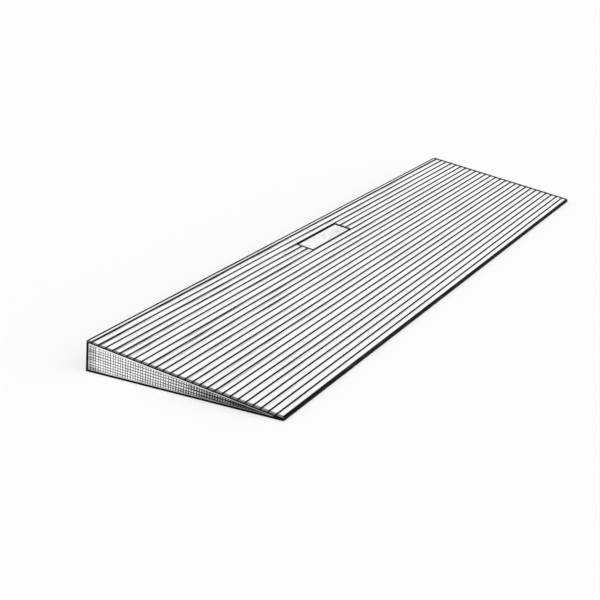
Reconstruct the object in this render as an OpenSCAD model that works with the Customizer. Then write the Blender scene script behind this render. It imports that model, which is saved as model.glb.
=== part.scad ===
// Threshold ramp: a ribbed rubber wedge that is laid on the floor against a door sill.
// It is a laminate: a grey core between black sheets, with a pale wear strip on each rib.
// The origin is on the floor under the middle of the ramp. X runs along the sill,
// Y from the toe to the heel, and Z up. Sizes are in millimetres.

/* [Ramp] */
// Length along the sill
ramp_length = 900; // [600:10:1200]
// Depth from the toe to the heel
ramp_depth = 200; // [160:5:300]
// Overall height at the heel, over the wear strips
rise = 30; // [24:1:60]
// Height at the toe, over the wear strips
toe_height = 4; // [3.6:0.1:6]

/* [Tread sheet] */
// Distance from one groove to the next, up the slope
groove_pitch = 7.55; // [6:0.01:12]
// Width of a groove
groove_width = 1.8; // [1.2:0.1:2.4]
// Width of the last groove, which sets off the heel
heel_groove_width = 2.4; // [1.2:0.1:2.4]
// Depth of a groove in the tread sheet
groove_depth = 1.4; // [1.2:0.1:1.8]
// Rubber left under a groove
web_thickness = 0.6; // [0.5:0.1:1.2]
// Depth of the solid toe that reaches the floor
nose_depth = 10; // [8:1:40]
// Radius of the toe's upper edge
toe_radius = 1.2; // [0.4:0.1:1.3]

/* [Wear strips] */
// Thickness of a wear strip
strip_thickness = 0.6; // [0.5:0.05:0.9]
// Width of the rounded shoulder along the uphill side of a strip
shoulder_width = 2.2; // [1:0.1:3.5]
// Fall of that shoulder below the top of the strip
shoulder_drop = 0.4; // [0.1:0.05:0.45]
// Bare border below the first strip, at the toe
toe_border = 1.8; // [1.2:0.1:3]
// Bare border above the last strip, at the heel
heel_border = 2.5; // [1.2:0.1:4]
// Bare border past the ends of the strips
end_border = 0.6; // [0.2:0.1:3]
// Width of the narrowest strip that is laid at the heel
narrowest_strip = 1; // [0.8:0.1:4]

/* [Name plate] */
// Length of the plate along the ramp
plate_length = 100; // [40:1:200]
// Number of ribs that the plate takes the place of
plate_ribs = 3; // [2:1:5]
// Number of grooves between the plate's pocket and the heel
grooves_above_plate = 2; // [1:1:8]
// Thickness of the plate
plate_thickness = 1.4; // [0.6:0.1:1.5]
// Gap between the plate and the ribs above it and past its ends
plate_gap = 3.4; // [2:0.1:5]
// Corner radius of the plate
plate_corner = 1; // [0.5:0.1:3]
// Thickness of the adhesive pad under the plate
pad_thickness = 0.2; // [0.1:0.05:0.3]
// Distance from the edge of the plate to the edge of its pad
pad_inset = 1.5; // [0.5:0.1:4]

/* [Base and heel sheets] */
// Thickness of the base sheet
base_thickness = 2; // [1:0.1:2.5]
// Thickness of the heel sheet
heel_thickness = 2.5; // [1:0.1:4]

/* [Mounting tape] */
// Width of a mounting tape
tape_width = 25; // [15:1:40]
// Rubber left between a tape's window and the long edge of the base sheet
window_margin = 10; // [5:1:20]
// Rubber left between a tape's window and the end of the ramp
window_end_margin = 15; // [8:1:40]
// Gap between a tape and the edge of its window
tape_clearance = 0.5; // [0.2:0.1:1.5]
// Thickness of the release liner on a tape
liner_thickness = 0.2; // [0.1:0.05:0.5]
// Length of the liner's pull tab, past the end of the tape
tab_length = 12; // [6:1:25]

/* [Hidden] */
$fn = 96;
// Places from the toe to the heel
toe_y = -ramp_depth / 2;
heel_y = ramp_depth / 2;
nose_y = toe_y + nose_depth;
back_y = heel_y - heel_thickness;
// The slope runs from the toe's height to the rise, at the upper edge of the last strip
slope_rise = (rise - toe_height) / (ramp_depth - heel_border);
slope = atan(slope_rise);
slope_length = ramp_depth / cos(slope);
tread_thickness = groove_depth + web_thickness;
// The toe's rounding touches the front of the toe and the ribs' tops. The ribs' tops end a hair inside
// it, because a corner that only touches it can leave a sliver.
toe_tuck = 0.001;
toe_round_y = toe_y + toe_radius;
toe_round_z = rib_z(toe_round_y) - toe_radius / cos(slope);
// Grooves are counted from the toe, and the last one leaves room for a strip at the heel
heel_land = heel_groove_width / 2 + narrowest_strip + heel_border;
groove_count = floor((slope_length - heel_land) / groove_pitch);
strip_count = groove_count + 1;
strip_end_x = ramp_length / 2 - end_border;
// A circle of this radius falls by the drop over the shoulder's width
shoulder_radius = (pow(shoulder_width, 2) + pow(shoulder_drop, 2)) / (2 * shoulder_drop);
// The plate's pocket runs from the middle of one groove to the middle of another. The plate's lower
// edge is a side of the lower groove, and its gap reaches to the far side of the upper one.
upper_pocket_groove = groove_count - grooves_above_plate;
lower_pocket_groove = upper_pocket_groove - plate_ribs;
pocket_length = plate_length + 2 * plate_gap;
pocket_width = plate_ribs * groove_pitch;
plate_width = pocket_width - plate_gap;
// Tape and liner together are as thick as the sheet, so the liner is level with the floor
tape_thickness = base_thickness - liner_thickness;
window_length = ramp_length - 2 * window_end_margin;
window_width = tape_width + 2 * tape_clearance;
toe_window_y = nose_y + window_margin;
heel_window_y = back_y - window_margin - window_width;
liner_length = window_length - 2 * tape_clearance;
tape_length = liner_length - tab_length;
// Colours
black_rubber = "#1c1c1c";
pale_rubber = "#f0f0ee";
grey_rubber = "#9b9b99";
plate_colour = "#dcdcda";
pad_colour = "#b9b9b6";
tape_colour = "#c9c9c6";
liner_colour = "#e6e2d2";

// Height of the strips' tops, the ribs' tops and the tread sheet's underside, at a place toe to heel
function top_z(y) = toe_height + (y - toe_y) * slope_rise;
function rib_z(y) = top_z(y) - strip_thickness / cos(slope);
function under_z(y) = rib_z(y) - tread_thickness / cos(slope);

// Distance up the slope to a groove's middle, and half of the groove's width
function groove_at(i) = i * groove_pitch;
function half_groove(i) = (i == groove_count ? heel_groove_width : groove_width) / 2;

// Strip i lies between grooves i - 1 and i, and the pocket cuts some strips in two
function is_cut(i) = i > lower_pocket_groove && i <= upper_pocket_groove;
function strip_sides(i) = is_cut(i) ? ["_left", "_right"] : [""];
function strip_name(i, side) = str("wear_strip_", i < 10 ? "0" : "", i, side);
function strip_start(side) = side == "_right" ? pocket_length / 2 : -strip_end_x;
function strip_end(side) = side == "_left" ? -pocket_length / 2 : strip_end_x;

// Draws a profile, given as Y and Z, along X from one place to another
module along_ramp(start, end) {
    translate([start, 0, 0])
        rotate([90, 0, 90])
            linear_extrude(end - start)
                children();
}

// Puts a flat shape in a profile: its x runs up the slope from the toe, its y out of the ribs' tops
module on_slope() {
    translate([toe_y, rib_z(toe_y)])
        rotate(slope)
            children();
}

// Puts a solid on the tread: its y runs up the slope from the toe, its z out of the ribs' tops
module on_tread() {
    translate([0, toe_y, rib_z(toe_y)])
        rotate([slope, 0, 0])
            children();
}

// Cross-section of a groove of that half width, open at the top, with a round floor
module groove_cut(half_width) {
    floor_y = half_width - groove_depth;
    translate([0, floor_y])
        circle(half_width);
    translate([-half_width, floor_y])
        square([2 * half_width, groove_depth + rise]);
}

// Cross-section of a strip between two places up the slope, with its uphill shoulder rounded
module shouldered_strip(low, high) {
    crest = high - shoulder_width;
    intersection() {
        translate([low, 0])
            square([high - low, strip_thickness]);
        union() {
            translate([low, 0])
                square([crest - low, strip_thickness]);
            translate([crest, strip_thickness - shoulder_radius])
                circle(shoulder_radius);
        }
    }
}

// Puts a centred outline of the plate's place in the pocket
module at_plate() {
    translate([0, (groove_width + plate_width) / 2])
        children();
}

// Outline with rounded corners, centred
module rounded_rectangle(length, width, radius) {
    square([length - 2 * radius, width], center = true);
    square([length, width - 2 * radius], center = true);
    for (x = [-1, 1], y = [-1, 1])
        translate([x * (length / 2 - radius), y * (width / 2 - radius)])
            circle(radius);
}

// Flat shape in the plate's pocket, its y up from the pocket's lower groove, between two heights over
// the pocket's floor
module in_pocket(low, high) {
    on_tread()
        translate([0, groove_at(lower_pocket_groove), low - groove_depth])
            linear_extrude(high - low)
                children();
}

// Cross-section of the tread sheet before its grooves are cut, with the toe's upper edge rounded
module tread_blank() {
    polygon([
        [toe_y, 0],
        [nose_y, 0],
        [nose_y, under_z(nose_y)],
        [heel_y, under_z(heel_y)],
        [heel_y, rib_z(heel_y)],
        [
            toe_round_y - (toe_radius - toe_tuck) * sin(slope),
            toe_round_z + (toe_radius - toe_tuck) * cos(slope)
        ],
        [toe_y, toe_round_z]
    ]);
    translate([toe_round_y, toe_round_z])
        circle(toe_radius);
}

module tread_sheet() {
    color(black_rubber)
        difference() {
            along_ramp(-ramp_length / 2, ramp_length / 2)
                difference() {
                    tread_blank();
                    for (i = [1:groove_count])
                        on_slope()
                            translate([groove_at(i), 0])
                                groove_cut(half_groove(i));
                }
            in_pocket(0, rise)
                translate([-pocket_length / 2, 0])
                    square([pocket_length, pocket_width]);
        }
}

module wear_strip(i, side) {
    low = i == 1 ? 0 : groove_at(i - 1) + half_groove(i - 1);
    high = groove_at(i) - half_groove(i);
    color(pale_rubber)
        along_ramp(strip_start(side), strip_end(side))
            intersection() {
                on_slope()
                    if (i < strip_count)
                        shouldered_strip(low, high);
                    else
                        translate([low, 0])
                            square([slope_length - low, strip_thickness]);
                translate([toe_y + toe_border, 0])
                    square([ramp_depth - toe_border - heel_border, 2 * rise]);
            }
}

module wedge_core() {
    color(grey_rubber)
        along_ramp(-ramp_length / 2, ramp_length / 2)
            polygon([
                [nose_y, base_thickness],
                [back_y, base_thickness],
                [back_y, under_z(back_y)],
                [nose_y, under_z(nose_y)]
            ]);
}

module base_sheet() {
    color(black_rubber)
        difference() {
            translate([-ramp_length / 2, nose_y, 0])
                cube([ramp_length, back_y - nose_y, base_thickness]);
            for (y = [toe_window_y, heel_window_y])
                translate([-window_length / 2, y, -base_thickness])
                    cube([window_length, window_width, 3 * base_thickness]);
        }
}

module heel_sheet() {
    color(black_rubber)
        along_ramp(-ramp_length / 2, ramp_length / 2)
            polygon([
                [back_y, 0],
                [heel_y, 0],
                [heel_y, under_z(heel_y)],
                [back_y, under_z(back_y)]
            ]);
}

module name_plate() {
    color(plate_colour)
        in_pocket(pad_thickness, pad_thickness + plate_thickness)
            at_plate()
                rounded_rectangle(plate_length, plate_width, plate_corner);
}

module plate_pad() {
    color(pad_colour)
        in_pocket(0, pad_thickness)
            at_plate()
                square([plate_length - 2 * pad_inset, plate_width - 2 * pad_inset], center = true);
}

// Mounting tape in the window that starts at a place from toe to heel, stuck to the core
module mounting_tape(window_y) {
    color(tape_colour)
        translate([-liner_length / 2, window_y + tape_clearance, liner_thickness])
            cube([tape_length, tape_width, tape_thickness]);
}

// Release liner under that tape, longer by its pull tab
module release_liner(window_y) {
    color(liner_colour)
        translate([-liner_length / 2, window_y + tape_clearance, 0])
            cube([liner_length, tape_width, liner_thickness]);
}

tread_sheet();
wedge_core();
base_sheet();
heel_sheet();
for (i = [1:strip_count], side = strip_sides(i))
    wear_strip(i, side);
name_plate();
plate_pad();
mounting_tape(toe_window_y);  // mounting_tape_toe
mounting_tape(heel_window_y);  // mounting_tape_heel
release_liner(toe_window_y);  // release_liner_toe
release_liner(heel_window_y);  // release_liner_heel
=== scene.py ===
# %% [markdown]
# # Dressing a threshold ramp
# The real ramp is a long, low rubber wedge that is laid against a door sill, so that wheels can roll over
# it. It is a laminate: a grey core between black sheets, with a pale wear strip bonded on each rib of the
# tread. The solids come in at their true size and place, and this lesson gives them their finish.

# %% Load the frame
import math
import random

import bmesh
import bpy
from mathutils import Matrix, Vector


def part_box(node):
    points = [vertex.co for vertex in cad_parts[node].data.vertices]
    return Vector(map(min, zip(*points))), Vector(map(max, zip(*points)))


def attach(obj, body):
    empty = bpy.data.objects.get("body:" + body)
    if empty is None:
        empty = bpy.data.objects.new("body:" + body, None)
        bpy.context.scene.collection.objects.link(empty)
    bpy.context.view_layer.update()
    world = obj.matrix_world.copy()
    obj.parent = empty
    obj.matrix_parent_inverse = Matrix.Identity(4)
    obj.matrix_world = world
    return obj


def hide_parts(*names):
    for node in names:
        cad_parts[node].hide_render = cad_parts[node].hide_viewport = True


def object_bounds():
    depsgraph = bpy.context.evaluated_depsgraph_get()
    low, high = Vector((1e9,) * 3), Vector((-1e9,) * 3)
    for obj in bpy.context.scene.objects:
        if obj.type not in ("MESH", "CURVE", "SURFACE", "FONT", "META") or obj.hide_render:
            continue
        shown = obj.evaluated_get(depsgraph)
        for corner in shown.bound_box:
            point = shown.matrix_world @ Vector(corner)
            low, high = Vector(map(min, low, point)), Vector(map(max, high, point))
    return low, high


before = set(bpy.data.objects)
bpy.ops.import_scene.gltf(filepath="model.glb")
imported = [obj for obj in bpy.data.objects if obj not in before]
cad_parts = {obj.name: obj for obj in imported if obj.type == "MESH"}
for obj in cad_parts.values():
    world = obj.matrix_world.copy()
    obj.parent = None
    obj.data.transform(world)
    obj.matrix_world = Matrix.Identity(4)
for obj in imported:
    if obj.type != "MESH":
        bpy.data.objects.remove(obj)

MM = 0.001
scene = bpy.context.scene
cad_low, cad_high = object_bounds()
print("CAD box, mm:", [round(side / MM, 1) for side in cad_high - cad_low])

# %% [markdown]
# Every strip lies on the same slope. So the line through matching corners of two of them gives the slope,
# with nothing typed in twice.

# %% Measure the slope
strip_names = sorted(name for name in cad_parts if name.startswith("wear_strip"))
lower_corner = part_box(strip_names[1])[0]
upper_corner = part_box(strip_names[-2])[0]
slope = math.atan2(upper_corner.z - lower_corner.z, upper_corner.y - lower_corner.y)
print(len(strip_names), "wear strips on a slope of", round(math.degrees(slope), 2), "degrees")

# %% [markdown]
# The camera stands low at the toe's side of the near end, a bit under two ramp lengths from the ramp's
# middle, with a long lens. A slight turn about the line of sight matches how the drawing leans.

# %% Camera
camera_eye = Vector((-1506.0, -576.6, 507.9)) * MM
camera_heading = math.radians(23.968)
camera_tilt = math.radians(18.93)
camera_roll = math.radians(4.109)
camera = bpy.data.cameras.new("camera")
camera.lens = 88.42
camera.sensor_width = 36.0
camera_object = bpy.data.objects.new("camera", camera)
camera_object.matrix_world = (
    Matrix.Translation(camera_eye)
    @ Matrix.Rotation(camera_heading - math.pi / 2, 4, "Z")
    @ Matrix.Rotation(math.pi / 2 - camera_tilt, 4, "X")
    @ Matrix.Rotation(camera_roll, 4, "Z")
)
scene.collection.objects.link(camera_object)
scene.camera = camera_object
print("camera", round(camera_eye.length, 2), "m from the ramp's middle")

# %% [markdown]
# Colours are written as sRGB hex values, the way a paint chart gives them, and Blender's shaders want
# linear light, so one function turns one into the other. A second function adds a node to a material,
# sets it up and links it, so that each material below reads as a short recipe.

# %% Helpers for materials
def linear(hex_colour):
    """Linear RGBA of an sRGB colour such as #1c1c1c."""
    shares = [int(hex_colour[i:i + 2], 16) / 255 for i in (1, 3, 5)]
    return [s / 12.92 if s <= 0.04045 else ((s + 0.055) / 1.055) ** 2.4 for s in shares] + [1.0]


def add_node(tree, kind, settings, inputs):
    """A new node of that kind, with its properties set and its inputs set or linked."""
    made = tree.nodes.new(kind)
    for name, value in settings.items():
        setattr(made, name, value)
    for name, value in inputs.items():
        if isinstance(value, bpy.types.NodeSocket):
            tree.links.new(value, made.inputs[name])
        else:
            made.inputs[name].default_value = value
    return made


def new_material(name):
    """A material with its node tree and its main shader."""
    material = bpy.data.materials.new(name)
    material.use_nodes = True
    return material, material.node_tree, material.node_tree.nodes["Principled BSDF"]


# A colour mix has its sockets at these places
MIX_FACTOR, MIX_LOW, MIX_HIGH, MIX_RESULT = 0, 6, 7, 2
COLOUR_MIX = {"data_type": "RGBA"}


def per_metre(size_mm):
    """Pattern scale at which one feature of a noise is that many millimetres wide."""
    return 1 / (size_mm * MM)


# Blender's wave pattern runs through this many radians in each unit of its scale
WAVE_RADIANS = 20


def bands_per_metre(pitch_mm):
    """Scale of a wave pattern whose bands are that many millimetres apart along X."""
    return 2 * math.pi / WAVE_RADIANS / (pitch_mm * MM)


print("black #1c1c1c is", round(linear("#1c1c1c")[0], 4), "in linear light")

# %% [markdown]
# ## Black sheet rubber
# The tread, base and heel sheets are black EPDM sheet, pressed between cloths. The eye sees a matt,
# slightly patchy black with a fine cloth print. A single dark colour would look like a hole in the picture,
# so a slow noise greys it in patches, and two crossed waves raise the cloth print. The heel's face stands
# open to the air, so its copy of the rubber has a grey bloom there. The tread is the sheet that feet and
# wheels rub, so its copy also greys in streaks along the toe, and it is grey along the top of its cut ends.

# %% Black sheet rubber
# The cloth's threads are about half a millimetre apart, too fine to show, so they are drawn coarser
cloth_pitch_mm = 1.6


def black_sheet_rubber(name):
    # Matt EPDM: a deep black that greys slightly in patches, with hardly any gloss
    material, tree, shader = new_material(name)
    place = add_node(tree, "ShaderNodeTexCoord", {}, {}).outputs["Object"]
    patches = add_node(tree, "ShaderNodeTexNoise", {}, {
        "Vector": place, "Scale": per_metre(35), "Detail": 4.0, "Roughness": 0.6})
    grit = add_node(tree, "ShaderNodeTexNoise", {}, {
        "Vector": place, "Scale": per_metre(1.2), "Detail": 2.0})
    patch_share = add_node(tree, "ShaderNodeMapRange", {"interpolation_type": "SMOOTHSTEP"}, {
        "Value": patches.outputs["Fac"], "From Min": 0.4, "From Max": 0.75})
    colour = add_node(tree, "ShaderNodeMix", COLOUR_MIX, {
        MIX_FACTOR: patch_share.outputs["Result"], MIX_LOW: linear("#080808"),
        MIX_HIGH: linear("#121212")})
    roughness = add_node(tree, "ShaderNodeMapRange", {}, {
        "Value": grit.outputs["Fac"], "To Min": 0.6, "To Max": 0.85})
    warp = add_node(tree, "ShaderNodeTexWave", {"wave_type": "BANDS", "bands_direction": "X"}, {
        "Vector": place, "Scale": bands_per_metre(cloth_pitch_mm), "Distortion": 0.6})
    weft = add_node(tree, "ShaderNodeTexWave", {"wave_type": "BANDS", "bands_direction": "DIAGONAL"}, {
        "Vector": place, "Scale": bands_per_metre(cloth_pitch_mm), "Distortion": 0.6})
    print_height = add_node(tree, "ShaderNodeMath", {"operation": "MULTIPLY"}, {
        0: warp.outputs["Fac"], 1: weft.outputs["Fac"]})
    height = add_node(tree, "ShaderNodeMath", {"operation": "ADD"}, {
        0: print_height.outputs[0], 1: grit.outputs["Fac"]})
    bump = add_node(tree, "ShaderNodeBump", {}, {
        "Height": height.outputs[0], "Strength": 0.5, "Distance": 0.1 * MM})
    tree.links.new(colour.outputs[MIX_RESULT], shader.inputs["Base Color"])
    tree.links.new(roughness.outputs["Result"], shader.inputs["Roughness"])
    tree.links.new(bump.outputs["Normal"], shader.inputs["Normal"])
    shader.inputs["IOR"].default_value = 1.52
    shader.inputs["Specular IOR Level"].default_value = 0.05
    return material


def dress(node_name, material):
    """Gives a solid that stays in view its finish."""
    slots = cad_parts[node_name].data.materials
    slots.clear()
    slots.append(material)


dress("base_sheet", black_sheet_rubber("black_sheet_rubber"))
print("black rubber on the base sheet")

# %% Bloomed heel rubber
bloom_depth = 0.4 * MM
bloom_fade = 0.3 * MM


def bloom(material):
    # Aged EPDM: wax that rose to the open face dulls it to a cloudy grey, and the cut ends stay black
    tree = material.node_tree
    shader = tree.nodes["Principled BSDF"]
    black = shader.inputs["Base Color"].links[0].from_socket
    place = add_node(tree, "ShaderNodeTexCoord", {}, {}).outputs["Object"]
    apart = add_node(tree, "ShaderNodeSeparateXYZ", {}, {"Vector": place})
    clouds = add_node(tree, "ShaderNodeTexNoise", {}, {
        "Vector": place, "Scale": per_metre(40), "Detail": 4.0, "Roughness": 0.6})
    cloud_share = add_node(tree, "ShaderNodeMapRange", {"interpolation_type": "SMOOTHSTEP"}, {
        "Value": clouds.outputs["Fac"], "From Min": 0.3, "From Max": 0.7, "To Min": 0.3})
    at_face = add_node(tree, "ShaderNodeMapRange", {}, {
        "Value": apart.outputs["Y"], "From Min": cad_high.y - bloom_depth - bloom_fade,
        "From Max": cad_high.y - bloom_depth})
    bloomed = add_node(tree, "ShaderNodeMath", {"operation": "MULTIPLY"}, {
        0: cloud_share.outputs["Result"], 1: at_face.outputs["Result"]})
    colour = add_node(tree, "ShaderNodeMix", COLOUR_MIX, {
        MIX_FACTOR: bloomed.outputs[0], MIX_LOW: black, MIX_HIGH: linear("#525252")})
    tree.links.new(colour.outputs[MIX_RESULT], shader.inputs["Base Color"])
    return material


dress("heel_sheet", bloom(black_sheet_rubber("bloomed_sheet_rubber")))
print("bloomed black rubber on the heel sheet")

# %% Rubbed tread rubber
strip_thickness = 0.6 * MM
rib_foot_y = lower_corner.y + strip_thickness * math.sin(slope)
rib_height = lower_corner.z * math.cos(slope) - rib_foot_y * math.sin(slope)
toe_wear = 2.5 * MM
cut_depth = 0.05 * MM
end_grey_fade = 0.15 * MM
end_grey_to = rib_height - 0.4 * MM
end_grey_from = end_grey_to - end_grey_fade


def rub_and_grey_ends(material):
    # Scuffed EPDM: the black is dragged grey in streaks at the toe, and is grey along the top of the
    # knife-cut ends
    tree = material.node_tree
    shader = tree.nodes["Principled BSDF"]
    black = shader.inputs["Base Color"].links[0].from_socket
    place = add_node(tree, "ShaderNodeTexCoord", {}, {}).outputs["Object"]
    apart = add_node(tree, "ShaderNodeSeparateXYZ", {}, {"Vector": place})
    streak_place = add_node(tree, "ShaderNodeMapping", {}, {
        "Vector": place, "Scale": (per_metre(25), per_metre(0.8), per_metre(0.8))})
    streaks = add_node(tree, "ShaderNodeTexNoise", {}, {
        "Vector": streak_place.outputs["Vector"], "Scale": 1.0, "Detail": 2.0})
    streak_share = add_node(tree, "ShaderNodeMapRange", {}, {
        "Value": streaks.outputs["Fac"], "From Min": 0.55, "From Max": 0.72, "To Max": 0.3})
    at_toe = add_node(tree, "ShaderNodeMapRange", {}, {
        "Value": apart.outputs["Y"], "From Min": cad_low.y + toe_wear, "From Max": cad_low.y})
    toe_rub = add_node(tree, "ShaderNodeMath", {"operation": "MULTIPLY"}, {
        0: streak_share.outputs["Result"], 1: at_toe.outputs["Result"]})
    on_slope = add_node(tree, "ShaderNodeMapping", {}, {"Vector": place, "Rotation": (-slope, 0.0, 0.0)})
    off_slope = add_node(tree, "ShaderNodeSeparateXYZ", {}, {"Vector": on_slope.outputs["Vector"]})
    upper_half = add_node(tree, "ShaderNodeMapRange", {}, {
        "Value": off_slope.outputs["Z"], "From Min": end_grey_from, "From Max": end_grey_to})
    from_middle = add_node(tree, "ShaderNodeMath", {"operation": "ABSOLUTE"}, {0: apart.outputs["X"]})
    at_cut = add_node(tree, "ShaderNodeMapRange", {}, {
        "Value": from_middle.outputs[0], "From Min": cad_high.x - cut_depth, "From Max": cad_high.x})
    cut_end_grey = add_node(tree, "ShaderNodeMath", {"operation": "MULTIPLY"}, {
        0: upper_half.outputs["Result"], 1: at_cut.outputs["Result"]})
    worn_and_greyed = add_node(tree, "ShaderNodeMath", {"operation": "MAXIMUM"}, {
        0: toe_rub.outputs[0], 1: cut_end_grey.outputs[0]})
    colour = add_node(tree, "ShaderNodeMix", COLOUR_MIX, {
        MIX_FACTOR: worn_and_greyed.outputs[0], MIX_LOW: black, MIX_HIGH: linear("#8c8c8c")})
    tree.links.new(colour.outputs[MIX_RESULT], shader.inputs["Base Color"])
    return material


dress("tread_sheet", rub_and_grey_ends(black_sheet_rubber("rubbed_sheet_rubber")))
print("rubbed black rubber on the tread sheet")

# %% [markdown]
# Every new piece is finished in the same way: its faces are turned outwards and shaded smooth with its sharp
# edges kept, and it takes the place of its solid, where it has one. A modifier could find the sharp edges by
# their angle, but marking them in the mesh keeps the piece plain. The strips and the plate are made flat and
# then tilted to the slope.

# %% Helpers for pieces
SHARP_ANGLE = math.radians(38)


def finish_piece(name, shape, materials, node_names):
    """Turns a shape into an object that rides on the ramp, in place of the solids named, if any."""
    bmesh.ops.recalc_face_normals(shape, faces=shape.faces)
    for face in shape.faces:
        face.smooth = True
    for edge in shape.edges:
        edge.smooth = edge.calc_face_angle(0.0) < SHARP_ANGLE
    mesh = bpy.data.meshes.new(name)
    shape.to_mesh(mesh)
    shape.free()
    for material in materials:
        mesh.materials.append(material)
    piece = bpy.data.objects.new(name, mesh)
    scene.collection.objects.link(piece)
    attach(piece, "root")
    if node_names:
        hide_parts(*node_names)
    return piece


def onto_slope(shape, y, z):
    """Tilts a shape made flat at the origin to the slope, and puts its origin at that place."""
    shape.transform(Matrix.Translation((0, y, z)) @ Matrix.Rotation(slope, 4, "X"))


print("edges that turn by", round(math.degrees(SHARP_ANGLE)), "degrees or more stay sharp")

# %% [markdown]
# ## Pale strip rubber
# The strips are white rubber, filled with chalk and extruded. Painted shade lies on the uphill shoulder in
# long streaks, black cement seals their far cut ends, and painted shade greys their near cut ends and their
# ends at the pocket. A dark band also runs along the downhill side towards the far end. Painted maps could
# carry these marks, but every strip would need its own. So each mark is worked out from where a point lies:
# how far across its strip, how far along the ramp and up it, and how far from the plate's pocket.

# %% Painted shoulder shade
near_end, far_end = (corner.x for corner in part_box(strip_names[0]))
# Shares of a strip's width between which the painted shade thickens
shade_from = 0.32
shade_to = 0.98
# Strength of the painted shade along the ramp and up it, which are multiplied
near_end_shading = 1.45
far_end_shading = 0.5
toe_shading = 0.3
heel_shading = 1.2


def painted_shoulder_shade(tree, place, across):
    """How dark the painted shade lies: in long streaks on the shoulder, most at the near end and by the
    heel.
    """
    apart = add_node(tree, "ShaderNodeSeparateXYZ", {}, {"Vector": place})
    patch_place = add_node(tree, "ShaderNodeMapping", {}, {
        "Vector": place, "Scale": (per_metre(150), per_metre(10), per_metre(10))})
    patches = add_node(tree, "ShaderNodeTexNoise", {}, {
        "Vector": patch_place.outputs["Vector"], "Scale": 1.0, "Detail": 3.0})
    streak_place = add_node(tree, "ShaderNodeMapping", {}, {
        "Vector": place, "Scale": (per_metre(50), per_metre(1.2), per_metre(1.2))})
    streaks = add_node(tree, "ShaderNodeTexNoise", {}, {
        "Vector": streak_place.outputs["Vector"], "Scale": 1.0, "Detail": 2.0})
    shoulder = add_node(tree, "ShaderNodeMapRange", {"interpolation_type": "SMOOTHSTEP"}, {
        "Value": across, "From Min": shade_from, "From Max": shade_to})
    shading_along_ramp = add_node(tree, "ShaderNodeMapRange", {}, {
        "Value": apart.outputs["X"], "From Min": near_end, "From Max": far_end,
        "To Min": near_end_shading, "To Max": far_end_shading})
    shading_up_ramp = add_node(tree, "ShaderNodeMapRange", {}, {
        "Value": apart.outputs["Y"], "From Min": cad_low.y, "From Max": cad_high.y,
        "To Min": toe_shading, "To Max": heel_shading})
    shade_strength = add_node(tree, "ShaderNodeMath", {"operation": "MULTIPLY"}, {
        0: shading_along_ramp.outputs["Result"], 1: shading_up_ramp.outputs["Result"]})
    patch_share = add_node(tree, "ShaderNodeMapRange", {}, {
        "Value": patches.outputs["Fac"], "From Min": 0.4, "From Max": 0.6, "To Min": 0.1,
        "To Max": shade_strength.outputs[0]})
    streak_share = add_node(tree, "ShaderNodeMapRange", {}, {
        "Value": streaks.outputs["Fac"], "From Min": 0.42, "From Max": 0.58, "To Min": 0.35})
    shaded_shoulder = add_node(tree, "ShaderNodeMath", {"operation": "MULTIPLY"}, {
        0: shoulder.outputs["Result"], 1: patch_share.outputs["Result"]})
    streaked_shade = add_node(tree, "ShaderNodeMath", {"operation": "MULTIPLY"}, {
        0: shaded_shoulder.outputs[0], 1: streak_share.outputs["Result"]})
    return streaked_shade.outputs[0]


print("dirt along strips of", round((far_end - near_end) / MM, 1), "mm")

# %% Sealing cement and painted end shade
near_shade_depth = 1.7 * MM
far_seal = 6.5 * MM
end_fade = 0.5 * MM
pocket_fade_from = 2.6 * MM
pocket_fade_to = 1.0 * MM
# On the downhill sides a dark band starts a quarter of the way along, and covers this share of the width
side_start = near_end / 2
side_width = 0.03


def cement_and_end_shade(tree, place, across):
    """How much cement and painted shade show: black cement on a strip's far cut end, painted shade on its
    near cut end and its ends at the pocket, and a dark band along its downhill side.
    """
    from_pocket = add_node(tree, "ShaderNodeAttribute", {"attribute_name": "from_pocket"}, {}).outputs["Fac"]
    apart = add_node(tree, "ShaderNodeSeparateXYZ", {}, {"Vector": place})
    near_shade_edge = add_node(tree, "ShaderNodeMapRange", {}, {
        "Value": apart.outputs["Y"], "From Min": cad_low.y, "From Max": cad_high.y,
        "To Min": near_end + near_shade_depth, "To Max": near_end})
    past_shade_edge = add_node(tree, "ShaderNodeMath", {"operation": "SUBTRACT"}, {
        0: apart.outputs["X"], 1: near_shade_edge.outputs["Result"]})
    near_cut_shade = add_node(tree, "ShaderNodeMapRange", {}, {
        "Value": past_shade_edge.outputs[0], "From Min": end_fade, "From Max": 0.0})
    at_far = add_node(tree, "ShaderNodeMapRange", {}, {
        "Value": apart.outputs["X"], "From Min": far_end - far_seal - end_fade,
        "From Max": far_end - far_seal})
    cement_and_cut_shade = add_node(tree, "ShaderNodeMath", {"operation": "MAXIMUM"}, {
        0: near_cut_shade.outputs["Result"], 1: at_far.outputs["Result"]})
    pocket_shade = add_node(tree, "ShaderNodeMapRange", {}, {
        "Value": from_pocket, "From Min": pocket_fade_from, "From Max": pocket_fade_to})
    at_cut = add_node(tree, "ShaderNodeMath", {"operation": "MAXIMUM"}, {
        0: cement_and_cut_shade.outputs[0], 1: pocket_shade.outputs["Result"]})
    side_share = add_node(tree, "ShaderNodeMapRange", {}, {
        "Value": apart.outputs["X"], "From Min": side_start, "From Max": far_end})
    downhill_band = add_node(tree, "ShaderNodeMapRange", {}, {
        "Value": across, "From Min": side_width, "From Max": 0.0, "To Max": side_share.outputs["Result"]})
    cement_and_shade = add_node(tree, "ShaderNodeMath", {"operation": "MAXIMUM"}, {
        0: at_cut.outputs[0], 1: downhill_band.outputs["Result"]})
    return cement_and_shade.outputs[0]


print("cement on", round(far_seal / MM, 1), "mm of each strip at the far end")

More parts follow.
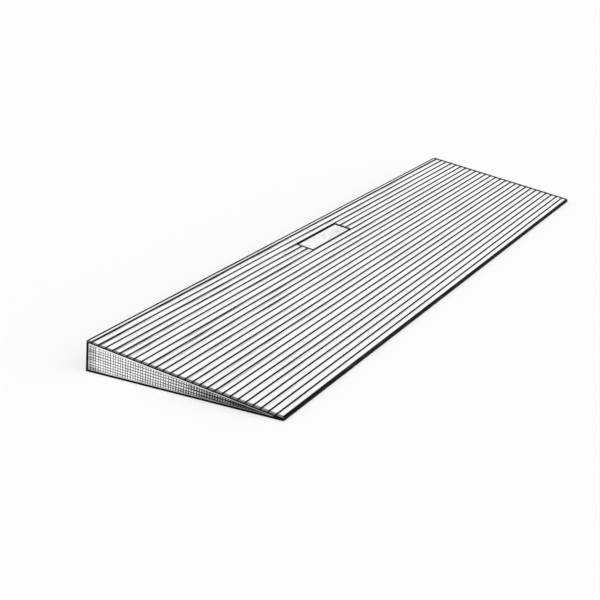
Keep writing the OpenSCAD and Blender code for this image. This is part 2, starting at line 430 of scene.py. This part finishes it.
# %% Pale strip rubber
def pale_strip_rubber():
    # Chalk-filled extruded rubber: a clean matt white with painted shade in long streaks along its uphill
    # shoulder. Black cement seals its far cut end, and painted shade greys its near one, in an edge that
    # narrows from toe to heel, and its ends at the pocket. Towards the far end a dark band also shows along
    # the downhill side
    material, tree, shader = new_material("extruded_pale_rubber")
    place = add_node(tree, "ShaderNodeTexCoord", {}, {}).outputs["Object"]
    across = add_node(tree, "ShaderNodeAttribute", {"attribute_name": "across"}, {}).outputs["Fac"]
    apart = add_node(tree, "ShaderNodeSeparateXYZ", {}, {"Vector": place})
    grain = add_node(tree, "ShaderNodeTexNoise", {}, {
        "Vector": place, "Scale": per_metre(1.5), "Detail": 3.0})
    far_share = add_node(tree, "ShaderNodeMapRange", {}, {
        "Value": apart.outputs["X"], "From Min": near_end, "From Max": far_end})
    cement_and_shade_colour = add_node(tree, "ShaderNodeMix", COLOUR_MIX, {
        MIX_FACTOR: far_share.outputs["Result"], MIX_LOW: linear("#868686"), MIX_HIGH: linear("#0a0a0a")})
    clean = add_node(tree, "ShaderNodeMix", COLOUR_MIX, {
        MIX_FACTOR: grain.outputs["Fac"], MIX_LOW: linear("#f6f6f6"), MIX_HIGH: linear("#fbfbfb")})
    # Painted shade: the uphill shoulder greys in long streaks
    shoulder_shaded = add_node(tree, "ShaderNodeMix", COLOUR_MIX, {
        MIX_FACTOR: painted_shoulder_shade(tree, place, across), MIX_LOW: clean.outputs[MIX_RESULT],
        MIX_HIGH: linear("#6f6f6e")})
    # Grey painted shade at the near end and the pocket, black cement at the far end, and a dark downhill
    # band
    colour = add_node(tree, "ShaderNodeMix", COLOUR_MIX, {
        MIX_FACTOR: cement_and_end_shade(tree, place, across), MIX_LOW: shoulder_shaded.outputs[MIX_RESULT],
        MIX_HIGH: cement_and_shade_colour.outputs[MIX_RESULT]})
    roughness = add_node(tree, "ShaderNodeMapRange", {}, {
        "Value": grain.outputs["Fac"], "To Min": 0.6, "To Max": 0.82})
    bump = add_node(tree, "ShaderNodeBump", {}, {
        "Height": grain.outputs["Fac"], "Strength": 0.4, "Distance": 0.08 * MM})
    tree.links.new(colour.outputs[MIX_RESULT], shader.inputs["Base Color"])
    tree.links.new(roughness.outputs["Result"], shader.inputs["Roughness"])
    tree.links.new(bump.outputs["Normal"], shader.inputs["Normal"])
    shader.inputs["IOR"].default_value = 1.5
    shader.inputs["Specular IOR Level"].default_value = 0.2
    return material


pale_rubber = pale_strip_rubber()
print("finish:", pale_rubber.name)

# %% [markdown]
# ## Wear strips
# Each strip is a ribbon of pale rubber, extruded through a die and stuck on its rib. Its uphill shoulder
# is rounded over, which is where the drawing shades each band. The ribbon could be a bevelled box, but
# that shoulder is wide and shallow, so a grid is crowned along the die's arc instead, its rim is pulled
# down to the rib and the top edges get a small bevel. Each point remembers how far across the ribbon it
# lies and how far from the plate's pocket, so that the finish can find the shoulder, the downhill side and
# the ends at the pocket.

# %% Wear strips
shoulder_width = 2.2 * MM
shoulder_drop = 0.4 * MM
shoulder_radius = (shoulder_width ** 2 + shoulder_drop ** 2) / (2 * shoulder_drop)
strip_edge_radius = 0.15 * MM
LANES = 12
STATIONS = 40


def wear_strip(node_name, has_shoulder):
    """A ribbon in place of one strip, crowned along its uphill side."""
    low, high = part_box(node_name)
    corner_y = low.y + strip_thickness * math.sin(slope)
    width = (high.y - corner_y) / math.cos(slope)
    # A strip that the pocket cuts lies on one side of the middle, and any other strip on both
    pocket_end = max(low.x, -high.x, 0.0)
    shape = bmesh.new()
    across = shape.verts.layers.float.new("across")
    from_pocket = shape.verts.layers.float.new("from_pocket")
    bmesh.ops.create_grid(shape, x_segments=STATIONS, y_segments=LANES, size=0.5)
    bmesh.ops.scale(shape, vec=(high.x - low.x, width, 1), verts=shape.verts)
    middle = Vector(((low.x + high.x) / 2, width / 2, strip_thickness))
    bmesh.ops.translate(shape, vec=middle, verts=shape.verts)
    for vert in shape.verts:
        vert[across] = vert.co.y / width
        vert[from_pocket] = abs(vert.co.x) - pocket_end if pocket_end else cad_high.x
        if has_shoulder:
            past_crest = max(0.0, vert.co.y - (width - shoulder_width))
            vert.co.z -= shoulder_radius - math.sqrt(shoulder_radius ** 2 - past_crest ** 2)
    rim = [edge for edge in shape.edges if edge.is_boundary]
    skirt = bmesh.ops.extrude_edge_only(shape, edges=rim)["geom"]
    for vert in (part for part in skirt if isinstance(part, bmesh.types.BMVert)):
        vert.co.z = 0
    foot = [edge for edge in shape.edges if edge.is_boundary]
    underside = bmesh.ops.holes_fill(shape, edges=foot, sides=0)["faces"]
    bmesh.ops.triangulate(shape, faces=underside, ngon_method="BEAUTY")
    bmesh.ops.bevel(shape, geom=rim, offset=strip_edge_radius, segments=2, profile=0.5,
                    affect="EDGES", material=-1)
    onto_slope(shape, corner_y, low.z)
    return finish_piece(node_name + "_ribbon", shape, [pale_rubber], [node_name])


for strip_name in strip_names:
    wear_strip(strip_name, has_shoulder=strip_name != strip_names[-1])
print(len(strip_names), "ribbons laid")

# %% [markdown]
# ## Cement in the groove ends
# The cement that seals the strips' ends also fills the last few millimetres of every groove, so the ramp's
# ends are closed to water. A fill could be a face that only covers the groove's mouth, but it shows from
# above as well. So each is a block from the groove's floor to just under the strips' tops, tilted into its
# groove, and its top edges are rounded over, as a drying paste leaves them. A mirror makes the other end's.

# %% Black cement
def black_cement():
    # Brushed rubber cement: a dense black with a dull shine and small lumps
    material, tree, shader = new_material("brushed_black_cement")
    place = add_node(tree, "ShaderNodeTexCoord", {}, {}).outputs["Object"]
    lumps = add_node(tree, "ShaderNodeTexNoise", {}, {
        "Vector": place, "Scale": per_metre(0.9), "Detail": 3.0})
    colour = add_node(tree, "ShaderNodeMix", COLOUR_MIX, {
        MIX_FACTOR: lumps.outputs["Fac"], MIX_LOW: linear("#060606"), MIX_HIGH: linear("#141414")})
    roughness = add_node(tree, "ShaderNodeMapRange", {}, {
        "Value": lumps.outputs["Fac"], "To Min": 0.5, "To Max": 0.75})
    bump = add_node(tree, "ShaderNodeBump", {}, {
        "Height": lumps.outputs["Fac"], "Strength": 0.5, "Distance": 0.1 * MM})
    tree.links.new(colour.outputs[MIX_RESULT], shader.inputs["Base Color"])
    tree.links.new(roughness.outputs["Result"], shader.inputs["Roughness"])
    tree.links.new(bump.outputs["Normal"], shader.inputs["Normal"])
    shader.inputs["IOR"].default_value = 1.52
    shader.inputs["Specular IOR Level"].default_value = 0.1
    return material


cement = black_cement()
print("finish:", cement.name)

# %% Groove ends
groove_depth = 1.4 * MM
fill_length = far_seal
fill_inset = 0.05 * MM
fill_drop = 0.1 * MM
fill_edge_radius = 0.2 * MM
# Cosine above which a face counts as looking straight up, and gap below which two points are one
LOOKS_UP = 0.99
JOIN_GAP = 0.01 * MM


def groove_ends():
    """A block of cement in both ends of every groove."""
    far_strips = [name for name in strip_names if not name.endswith("_left")]
    height = groove_depth + strip_thickness - fill_drop
    tilt = Matrix.Rotation(slope, 4, "X")
    shape = bmesh.new()
    for lower_name, upper_name in zip(far_strips, far_strips[1:]):
        upper_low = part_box(upper_name)[0]
        upper_y = upper_low.y + strip_thickness * math.sin(slope)
        width = (upper_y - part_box(lower_name)[1].y) / math.cos(slope)
        middle = (cad_high.x - fill_inset - fill_length / 2, -width / 2, height / 2 - groove_depth)
        in_groove = Matrix.Translation((0, upper_y, upper_low.z)) @ tilt @ Matrix.Translation(middle)
        block_size = Matrix.Diagonal((fill_length, width, height, 1))
        bmesh.ops.create_cube(shape, size=1, matrix=in_groove @ block_size)
    shape.normal_update()
    tops = [face for face in shape.faces if face.normal.dot(tilt @ Vector((0, 0, 1))) > LOOKS_UP]
    bmesh.ops.bevel(shape, geom=[edge for face in tops for edge in face.edges], offset=fill_edge_radius,
                    segments=2, profile=0.5, affect="EDGES", material=-1)
    bmesh.ops.mirror(shape, geom=shape.verts[:] + shape.edges[:] + shape.faces[:], axis="X",
                     matrix=Matrix.Identity(4), merge_dist=JOIN_GAP)
    print(2 * len(tops), "groove ends filled,", len(shape.faces), "faces")
    return finish_piece("groove_end_cement", shape, [cement], [])


groove_ends()

# %% [markdown]
# ## Grey core rubber
# The core is pressed from ground-up old rubber, so it is grey in patches, and its cut ends stay bare.
# Painted shade runs on them from pale by the heel to charcoal by the toe. An even change between two greys
# would look airbrushed, so a noise that is stretched along the pressed lines shifts it, and more painted
# shade darkens the ends by the heel's edge and the foot. Painted shade turns the tip nearly black, and the
# thin line of glue along the foot is black too.

# %% Painted light of the core
core_low, core_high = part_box("wedge_core")
core_depth = core_high.y - core_low.y
ramp_depth = cad_high.y - cad_low.y
full_shade_y = cad_low.y + 0.1 * ramp_depth
no_shade_y = cad_low.y + 0.69 * ramp_depth
row_tilt = slope / 2
patch_contrast = 1.2
# The patches shift the painted light up and down, and these painted shades take some away at the heel's edge
# and the foot
heel_shade = 0.55
heel_shade_width = 14 * MM
foot_shade = 0.3
foot_shade_height = 5 * MM


def painted_core_light(tree, place):
    """How pale the painted light leaves the core: most by the heel, in patches, less by the heel's edge and
    the foot.
    """
    apart = add_node(tree, "ShaderNodeSeparateXYZ", {}, {"Vector": place})
    patch_place = add_node(tree, "ShaderNodeMapping", {}, {
        "Vector": place, "Rotation": (-row_tilt, 0.0, 0.0),
        "Scale": (per_metre(14), per_metre(16), per_metre(5))})
    patches = add_node(tree, "ShaderNodeTexNoise", {}, {
        "Vector": patch_place.outputs["Vector"], "Scale": 1.0, "Detail": 3.0})
    shading_up_ramp = add_node(tree, "ShaderNodeMapRange", {"interpolation_type": "SMOOTHSTEP"}, {
        "Value": apart.outputs["Y"], "From Min": full_shade_y, "From Max": no_shade_y})
    heel_edge_shade = add_node(tree, "ShaderNodeMapRange", {}, {
        "Value": apart.outputs["Y"], "From Min": core_high.y - heel_shade_width, "From Max": core_high.y,
        "To Max": -heel_shade})
    foot_edge_shade = add_node(tree, "ShaderNodeMapRange", {}, {
        "Value": apart.outputs["Z"], "From Min": core_low.z, "From Max": core_low.z + foot_shade_height,
        "To Min": -foot_shade, "To Max": 0.0})
    edge_shades = add_node(tree, "ShaderNodeMath", {"operation": "ADD"}, {
        0: heel_edge_shade.outputs["Result"], 1: foot_edge_shade.outputs["Result"]})
    patch_shift = add_node(tree, "ShaderNodeMath", {"operation": "MULTIPLY_ADD"}, {
        0: patches.outputs["Fac"], 1: patch_contrast, 2: edge_shades.outputs[0]})
    shifted = add_node(tree, "ShaderNodeMath", {"operation": "ADD"}, {
        0: shading_up_ramp.outputs["Result"], 1: patch_shift.outputs[0]})
    light = add_node(tree, "ShaderNodeMath", {"operation": "SUBTRACT", "use_clamp": True}, {
        0: shifted.outputs[0], 1: patch_contrast / 2})
    return light.outputs[0]


print("core", round(core_depth / MM, 1), "mm deep, palest from", round(no_shade_y / MM, 1), "mm on")

# %% Painted tip shade and glue line of the core
# Levels of the pressed end, kept on its faces
SKIN, CELL, LINE = 0.0, 1.0, 2.0
# Share of painted shade at the tip, on the smooth margin and on the pressed cells and lines
skin_tip_shade = 0.45
cell_tip_shade = 0.95
tip_fade_from = 45 * MM
tip_fade_to = 8 * MM
glue_line = 0.12 * MM
glue_fade = 0.1 * MM


def painted_tip_shade_and_glue(tree, place, relief):
    """How black the core's end turns: with painted shade towards its thin tip, and in the glue line along
    its foot.
    """
    apart = add_node(tree, "ShaderNodeSeparateXYZ", {}, {"Vector": place})
    tip_shade = add_node(tree, "ShaderNodeMapRange", {}, {
        "Value": relief, "From Min": SKIN, "From Max": CELL,
        "To Min": skin_tip_shade, "To Max": cell_tip_shade})
    at_tip = add_node(tree, "ShaderNodeMapRange", {}, {
        "Value": apart.outputs["Y"], "From Min": core_low.y + tip_fade_from,
        "From Max": core_low.y + tip_fade_to, "To Max": tip_shade.outputs["Result"]})
    at_glue = add_node(tree, "ShaderNodeMapRange", {}, {
        "Value": apart.outputs["Z"], "From Min": core_low.z + glue_line + glue_fade,
        "From Max": core_low.z + glue_line})
    tip_shade_and_glue = add_node(tree, "ShaderNodeMath", {"operation": "MAXIMUM"}, {
        0: at_tip.outputs["Result"], 1: at_glue.outputs["Result"]})
    return tip_shade_and_glue.outputs[0]


print("glue line", round(glue_line / MM, 2), "mm high along the core's foot")

# %% Grey core rubber
line_light_from = 0.4


def grey_core_rubber():
    # Regrind rubber, pressed: dull and patchy, with painted shade from pale by the heel to charcoal by the
    # toe, darkest in its lines, painted nearly black at its thin tip, with a painted highlight on its smooth
    # margin and a black glue line along its foot
    material, tree, shader = new_material("pressed_grey_rubber")
    place = add_node(tree, "ShaderNodeTexCoord", {}, {}).outputs["Object"]
    relief = add_node(tree, "ShaderNodeAttribute", {"attribute_name": "relief"}, {}).outputs["Fac"]
    light = painted_core_light(tree, place)
    grain = add_node(tree, "ShaderNodeTexNoise", {}, {
        "Vector": place, "Scale": per_metre(1.4), "Detail": 2.0})
    # Painted highlight: the smooth margin stays paler than the cells where the end is dark, and less black
    # at the tip
    skin_highlight = add_node(tree, "ShaderNodeMix", COLOUR_MIX, {
        MIX_FACTOR: light, MIX_LOW: linear("#a4a4a4"), MIX_HIGH: linear("#f6f6f6")})
    cell = add_node(tree, "ShaderNodeMix", COLOUR_MIX, {
        MIX_FACTOR: light, MIX_LOW: linear("#606060"), MIX_HIGH: linear("#fafafa")})
    line_light = add_node(tree, "ShaderNodeMapRange", {}, {"Value": light, "From Min": line_light_from})
    line = add_node(tree, "ShaderNodeMix", COLOUR_MIX, {
        MIX_FACTOR: line_light.outputs["Result"], MIX_LOW: linear("#040404"), MIX_HIGH: linear("#606060")})
    is_pressed = add_node(tree, "ShaderNodeMapRange", {}, {
        "Value": relief, "From Min": SKIN, "From Max": CELL})
    is_line = add_node(tree, "ShaderNodeMapRange", {}, {
        "Value": relief, "From Min": CELL, "From Max": LINE})
    lined = add_node(tree, "ShaderNodeMix", COLOUR_MIX, {
        MIX_FACTOR: is_line.outputs["Result"], MIX_LOW: cell.outputs[MIX_RESULT],
        MIX_HIGH: line.outputs[MIX_RESULT]})
    pressed = add_node(tree, "ShaderNodeMix", COLOUR_MIX, {
        MIX_FACTOR: is_pressed.outputs["Result"], MIX_LOW: skin_highlight.outputs[MIX_RESULT],
        MIX_HIGH: lined.outputs[MIX_RESULT]})
    colour = add_node(tree, "ShaderNodeMix", COLOUR_MIX, {
        MIX_FACTOR: painted_tip_shade_and_glue(tree, place, relief), MIX_LOW: pressed.outputs[MIX_RESULT],
        MIX_HIGH: linear("#080808")})
    bump = add_node(tree, "ShaderNodeBump", {}, {
        "Height": grain.outputs["Fac"], "Strength": 0.4, "Distance": 0.1 * MM})
    tree.links.new(colour.outputs[MIX_RESULT], shader.inputs["Base Color"])
    tree.links.new(bump.outputs["Normal"], shader.inputs["Normal"])
    shader.inputs["Roughness"].default_value = 0.82
    shader.inputs["Specular IOR Level"].default_value = 0.2
    return material


core_rubber = grey_core_rubber()
print("finish:", core_rubber.name)

# %% [markdown]
# ## The core and its crossed end texture
# The core's cut ends carry a crossed texture of pressed lines in a smooth margin, widest on top, which a
# painted highlight keeps paler than the cells where the end is dark. A bump map would vanish at the edges,
# so the lines
# are modelled: one end is a flat face, cut along each line as with a knife, each cell inside the margin gets
# an inner face, and the lines between the inner faces are sunk. The lines wander a little, as a pressed
# cloth does, and the long ones tilt by half of the slope. The end's rim is then drawn along to the ramp's
# middle, and a mirror makes the other half.

# %% Core
margin = 0.5 * MM
top_margin = 0.8 * MM
column_pitch = 2.6 * MM
row_pitch = 2.5 * MM
# Shares of a cell's size that the lines round it take up, by the heel and by the toe
heel_line_share = 0.26
toe_line_share = 0.54
line_depth = 0.15 * MM
# A line wanders by up to this share of the pitch, and leans by up to these angles
line_wander = 0.1
column_lean = math.radians(2)
row_lean = math.radians(0.3)
wander_seed = 7
first_inset = 0.001 * MM


def top_of_core(y):
    """Height of the core's sloping top at a place from toe to heel."""
    return core_high.z - (core_high.y - y) * math.tan(slope)


def cut(shape, y, z, angle):
    """Cuts the end along a line through a place, turned up from level by an angle."""
    bmesh.ops.bisect_plane(shape, geom=shape.verts[:] + shape.edges[:] + shape.faces[:], dist=JOIN_GAP,
                           plane_co=(0, y, z), plane_no=(0, -math.sin(angle), math.cos(angle)))


def cut_lines(shape):
    """Cuts the end along its margin, and then along lines that wander about an even pitch."""
    cut(shape, core_low.y, core_low.z + margin, 0)
    cut(shape, core_high.y, core_high.z - top_margin, slope)
    cut(shape, core_low.y + margin, core_low.z, math.pi / 2)
    cut(shape, core_high.y - margin, core_low.z, math.pi / 2)
    wander = random.Random(wander_seed)
    columns = round(core_depth / column_pitch)
    for column in range(1, columns):
        y = core_low.y + (column + wander.uniform(-line_wander, line_wander)) * core_depth / columns
        cut(shape, y, core_low.z, math.pi / 2 + wander.uniform(-column_lean, column_lean))
    # The rows are counted along the heel, down to where the lowest one starts at the toe
    row_drop = core_depth * math.tan(row_tilt)
    rows = round((core_high.z - core_low.z + row_drop) / row_pitch)
    for row in range(1, rows):
        z = core_high.z - (row + wander.uniform(-line_wander, line_wander)) * row_pitch
        cut(shape, core_high.y, z, row_tilt + wander.uniform(-row_lean, row_lean))
    return columns, rows


def in_margin(face):
    """Whether a face of the end lies in its smooth margin."""
    place = face.calc_center_median()
    from_side = min(place.y - core_low.y, core_high.y - place.y, place.z - core_low.z)
    return from_side < margin or top_of_core(place.y) - place.z < top_margin


def core():
    """The core with its pressed ends, in place of its solid."""
    shape = bmesh.new()
    relief = shape.faces.layers.float.new("relief")
    bmesh.ops.create_grid(shape, x_segments=1, y_segments=1, size=0.5)
    for vert in shape.verts:
        y = core_low.y + (vert.co.x + 0.5) * core_depth
        height = top_of_core(y) - core_low.z
        vert.co = (core_low.x, y, core_low.z + (vert.co.y + 0.5) * height)
    columns, rows = cut_lines(shape)
    margins = [face for face in shape.faces if in_margin(face)]
    cells = [face for face in shape.faces if not in_margin(face)]
    rim_points = {vert for face in margins for vert in face.verts}
    line_points = [vert for vert in shape.verts if vert not in rim_points]
    # The rim is drawn along to the ramp's middle
    rim = [edge for edge in shape.edges if edge.is_boundary]
    body_rim = bmesh.ops.extrude_edge_only(shape, edges=rim)["geom"]
    body_points = [part for part in body_rim if isinstance(part, bmesh.types.BMVert)]
    bmesh.ops.translate(shape, vec=(-core_low.x, 0, 0), verts=body_points)
    # A hair-thin inset frames each cell, which then shrinks to leave the lines round it their width
    walls = bmesh.ops.inset_individual(shape, faces=cells, thickness=first_inset)["faces"]
    for face in walls:
        face[relief] = LINE
    for face in cells:
        face[relief] = CELL
        middle = face.calc_center_median()
        heel_share = (middle.y - core_low.y) / core_depth
        line_share = toe_line_share + heel_share * (heel_line_share - toe_line_share)
        for vert in face.verts:
            vert.co = middle.lerp(vert.co, 1 - line_share)
    bmesh.ops.translate(shape, vec=(line_depth, 0, 0), verts=line_points)
    bmesh.ops.mirror(shape, geom=shape.verts[:] + shape.edges[:] + shape.faces[:], axis="X",
                     matrix=Matrix.Identity(4), merge_dist=JOIN_GAP)
    print(columns, "columns and", rows, "rows of cells,", len(shape.faces), "faces")
    return finish_piece("wedge_core_pressed", shape, [core_rubber], ["wedge_core"])


core()

# %% [markdown]
# ## Name plate
# The plate is a blank of two-ply engraving laminate, a pale face on a black core, stuck in its pocket with
# a foam pad. Its edges are chamfered, so the core shows as a black line round the face, and most along the
# downhill edge, where a wheel that rolls up must not catch. A block with bevelled corners and a bevelled top
# edge gives that. The top face is then drawn back from its downhill edge, and each face takes its ply from
# the way it looks. The black line also stands in for the shade along the pocket's edges.

# %% Engraving laminate
def laminate_face():
    # Acrylic-faced laminate, rubbed: an even satin white with faint grey rubs along the plate
    material, tree, shader = new_material("laminate_pale_face")
    place = add_node(tree, "ShaderNodeTexCoord", {}, {}).outputs["Object"]
    rub_place = add_node(tree, "ShaderNodeMapping", {}, {
        "Vector": place, "Scale": (per_metre(9), per_metre(3), per_metre(3))})
    rubs = add_node(tree, "ShaderNodeTexNoise", {}, {
        "Vector": rub_place.outputs["Vector"], "Scale": 1.0, "Detail": 4.0})
    rub_share = add_node(tree, "ShaderNodeMapRange", {}, {
        "Value": rubs.outputs["Fac"], "From Min": 0.42, "From Max": 0.68})
    colour = add_node(tree, "ShaderNodeMix", COLOUR_MIX, {
        MIX_FACTOR: rub_share.outputs["Result"], MIX_LOW: linear("#fafafa"), MIX_HIGH: linear("#dcdcdc")})
    roughness = add_node(tree, "ShaderNodeMapRange", {}, {
        "Value": rubs.outputs["Fac"], "To Min": 0.4, "To Max": 0.62})
    bump = add_node(tree, "ShaderNodeBump", {}, {
        "Height": rubs.outputs["Fac"], "Strength": 0.3, "Distance": 0.05 * MM})
    tree.links.new(colour.outputs[MIX_RESULT], shader.inputs["Base Color"])
    tree.links.new(roughness.outputs["Result"], shader.inputs["Roughness"])
    tree.links.new(bump.outputs["Normal"], shader.inputs["Normal"])
    shader.inputs["IOR"].default_value = 1.53
    shader.inputs["Specular IOR Level"].default_value = 0.3
    return material


def laminate_core_and_shade():
    # Cut laminate core: a clean dull black line with the cutter's fine grain, which also stands in for the
    # shade along the pocket's edges
    material, tree, shader = new_material("laminate_black_core_and_shade")
    place = add_node(tree, "ShaderNodeTexCoord", {}, {}).outputs["Object"]
    cut_grain = add_node(tree, "ShaderNodeTexNoise", {}, {
        "Vector": place, "Scale": per_metre(0.8), "Detail": 2.0})
    colour = add_node(tree, "ShaderNodeMix", COLOUR_MIX, {
        MIX_FACTOR: cut_grain.outputs["Fac"], MIX_LOW: linear("#0d0d0d"), MIX_HIGH: linear("#202020")})
    bump = add_node(tree, "ShaderNodeBump", {}, {
        "Height": cut_grain.outputs["Fac"], "Strength": 0.4, "Distance": 0.05 * MM})
    tree.links.new(colour.outputs[MIX_RESULT], shader.inputs["Base Color"])
    tree.links.new(bump.outputs["Normal"], shader.inputs["Normal"])
    shader.inputs["Roughness"].default_value = 0.6
    shader.inputs["IOR"].default_value = 1.53
    return material


plate_plies = [laminate_face(), laminate_core_and_shade()]
print("plies:", [ply.name for ply in plate_plies])

# %% Plate
plate_corner = 1.0 * MM
plate_chamfer = 0.35 * MM
front_chamfer = 1.2 * MM
FACE_PLY, CORE_PLY_AND_SHADE = 0, 1


def top_face(shape):
    """The highest face of a shape that is still flat."""
    return max(shape.faces, key=lambda face: face.calc_center_median().z)


def name_plate():
    """The blank plate with its chamfers, in place of its solid."""
    low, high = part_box("name_plate")
    span = high - low
    # The plate lies tilted in its box, so its own width and thickness are solved from the box's sides
    cosine, sine = math.cos(slope), math.sin(slope)
    stretch = cosine ** 2 - sine ** 2
    width = (span.y * cosine - span.z * sine) / stretch
    thickness = (span.z * cosine - span.y * sine) / stretch
    shape = bmesh.new()
    bmesh.ops.create_cube(shape, size=1)
    bmesh.ops.scale(shape, vec=(span.x, width, thickness), verts=shape.verts)
    bmesh.ops.translate(shape, vec=(0, width / 2, thickness / 2), verts=shape.verts)
    uprights = [edge for edge in shape.edges if abs(edge.verts[0].co.z - edge.verts[1].co.z) > thickness / 2]
    bmesh.ops.bevel(shape, geom=uprights, offset=plate_corner, segments=5, profile=0.5,
                    affect="EDGES", material=-1)
    bmesh.ops.bevel(shape, geom=list(top_face(shape).edges), offset=plate_chamfer, segments=1, profile=0.5,
                    affect="EDGES", material=-1)
    for vert in top_face(shape).verts:
        vert.co.y = max(vert.co.y, front_chamfer)
    shape.normal_update()
    for face in shape.faces:
        face.material_index = FACE_PLY if face.normal.z > LOOKS_UP else CORE_PLY_AND_SHADE
    onto_slope(shape, low.y + thickness * sine, low.z)
    return finish_piece("name_plate_blank", shape, plate_plies, ["name_plate"])


plate = name_plate()
print("plate of", len(plate.data.polygons), "faces")

# %% [markdown]
# ## Pad, tape and liner
# The pad and the two mounting tapes are closed-cell foam with glue on both faces, and each tape still has
# its release liner, a smooth cream film. They are thin flat pieces whose solids already have the right
# shape, so they only need their finish: cells in the foam, and a faint ripple in the film.

# %% Closed-cell foam
def closed_cell_foam(name, light, dark):
    # Blown PE foam, skived: dull, with pale cells in darker walls
    material, tree, shader = new_material(name)
    place = add_node(tree, "ShaderNodeTexCoord", {}, {}).outputs["Object"]
    bubbles = add_node(tree, "ShaderNodeTexVoronoi", {}, {"Vector": place, "Scale": per_metre(0.9)})
    colour = add_node(tree, "ShaderNodeMix", COLOUR_MIX, {
        MIX_FACTOR: bubbles.outputs["Distance"], MIX_LOW: linear(dark), MIX_HIGH: linear(light)})
    bump = add_node(tree, "ShaderNodeBump", {}, {
        "Height": bubbles.outputs["Distance"], "Strength": 0.6, "Distance": 0.15 * MM})
    tree.links.new(colour.outputs[MIX_RESULT], shader.inputs["Base Color"])
    tree.links.new(bump.outputs["Normal"], shader.inputs["Normal"])
    shader.inputs["Roughness"].default_value = 0.9
    return material


dress("plate_pad", closed_cell_foam("pad_foam", "#b9b9b6", "#8d8d8a"))
tape_foam = closed_cell_foam("tape_foam", "#d2d2cf", "#a9a9a6")
for tape_name in ("mounting_tape_toe", "mounting_tape_heel"):
    dress(tape_name, tape_foam)
print("foam on the pad and both tapes")


# %% Release film
def release_film():
    # Silicone-coated PE film, cast: a cream sheet with a soft gloss and a slow ripple
    material, tree, shader = new_material("release_film")
    place = add_node(tree, "ShaderNodeTexCoord", {}, {}).outputs["Object"]
    ripple = add_node(tree, "ShaderNodeTexNoise", {}, {
        "Vector": place, "Scale": per_metre(18), "Detail": 2.0})
    colour = add_node(tree, "ShaderNodeMix", COLOUR_MIX, {
        MIX_FACTOR: ripple.outputs["Fac"], MIX_LOW: linear("#ded9c6"), MIX_HIGH: linear("#efebdc")})
    bump = add_node(tree, "ShaderNodeBump", {}, {
        "Height": ripple.outputs["Fac"], "Strength": 0.4, "Distance": 0.3 * MM})
    tree.links.new(colour.outputs[MIX_RESULT], shader.inputs["Base Color"])
    tree.links.new(bump.outputs["Normal"], shader.inputs["Normal"])
    shader.inputs["Roughness"].default_value = 0.28
    return material


liner_film = release_film()
for liner_name in ("release_liner_toe", "release_liner_heel"):
    dress(liner_name, liner_film)
print("film on both liners")

# %% [markdown]
# ## Floor and light
# The ramp lies on a wide sheet of white paper under an even sky. More light would whiten the paper, but it
# would bleach the strips too. So floor and sky are a brighter white where they are seen, straight or in a
# gloss, than the one that they cast. A broad soft sun past the near end, a little to the toe's side, lights
# that end and the tread, and its shadow falls past the far end and behind the heel.

# %% Floor
floor_reach = 12.0
floor_drop = 0.02 * MM


def seen_share(tree):
    """One for rays by which a surface is seen, straight, in a gloss or through glass, or else nought."""
    ray = add_node(tree, "ShaderNodeLightPath", {}, {})
    in_gloss = add_node(tree, "ShaderNodeMath", {"operation": "MAXIMUM"}, {
        0: ray.outputs["Is Glossy Ray"], 1: ray.outputs["Is Transmission Ray"]})
    seen = add_node(tree, "ShaderNodeMath", {"operation": "MAXIMUM"}, {
        0: ray.outputs["Is Camera Ray"], 1: in_gloss.outputs[0]})
    return seen.outputs[0]


def paper_floor():
    # Cartridge paper, uncoated: a flat white with a faint tooth and no gloss
    material, tree, shader = new_material("paper_floor")
    place = add_node(tree, "ShaderNodeTexCoord", {}, {}).outputs["Object"]
    tooth = add_node(tree, "ShaderNodeTexNoise", {}, {"Vector": place, "Scale": per_metre(3), "Detail": 3.0})
    paper = add_node(tree, "ShaderNodeMix", COLOUR_MIX, {
        MIX_FACTOR: tooth.outputs["Fac"], MIX_LOW: linear("#f6f6f6"), MIX_HIGH: linear("#fafafa")})
    colour = add_node(tree, "ShaderNodeMix", COLOUR_MIX, {
        MIX_FACTOR: seen_share(tree), MIX_LOW: linear("#d8d8d8"), MIX_HIGH: paper.outputs[MIX_RESULT]})
    tree.links.new(colour.outputs[MIX_RESULT], shader.inputs["Base Color"])
    shader.inputs["Roughness"].default_value = 1.0
    shader.inputs["Specular IOR Level"].default_value = 0.0
    return material


floor_shape = bmesh.new()
bmesh.ops.create_grid(floor_shape, x_segments=1, y_segments=1, size=floor_reach / 2)
bmesh.ops.translate(floor_shape, vec=(0, 0, -floor_drop), verts=floor_shape.verts)
floor_mesh = bpy.data.meshes.new("floor")
floor_shape.to_mesh(floor_mesh)
floor_shape.free()
floor_mesh.materials.append(paper_floor())
floor = bpy.data.objects.new("floor", floor_mesh)
scene.collection.objects.link(floor)
print("floor", floor_reach, "m wide")

# %% Light
sky_strength = 0.517
seen_sky_strength = 0.97
sun_from = Vector((-0.72, -0.1, 0.65)).normalized()
# Share of white that the sun gives to a level white floor
sun_share = 0.527
sun_strength = sun_share * math.pi / sun_from.z
sun_spread = math.radians(50)

world = bpy.data.worlds.new("sky")
world.use_nodes = True
scene.world = world
sky = world.node_tree.nodes["Background"]
sky.inputs["Color"].default_value = linear("#ffffff")
sky_level = add_node(world.node_tree, "ShaderNodeMapRange", {}, {
    "Value": seen_share(world.node_tree), "To Min": sky_strength, "To Max": seen_sky_strength})
world.node_tree.links.new(sky_level.outputs["Result"], sky.inputs["Strength"])

sun = bpy.data.lights.new("soft_sun", "SUN")
sun.energy = sun_strength
sun.angle = sun_spread
sun_object = bpy.data.objects.new("soft_sun", sun)
sun_object.rotation_mode = "QUATERNION"
sun_object.rotation_quaternion = (-sun_from).to_track_quat("-Z", "Y")
scene.collection.objects.link(sun_object)
scene.view_settings.view_transform = "Standard"
print("sky at", sky_strength, "and a sun of", round(sun_strength, 2), "W per square metre")
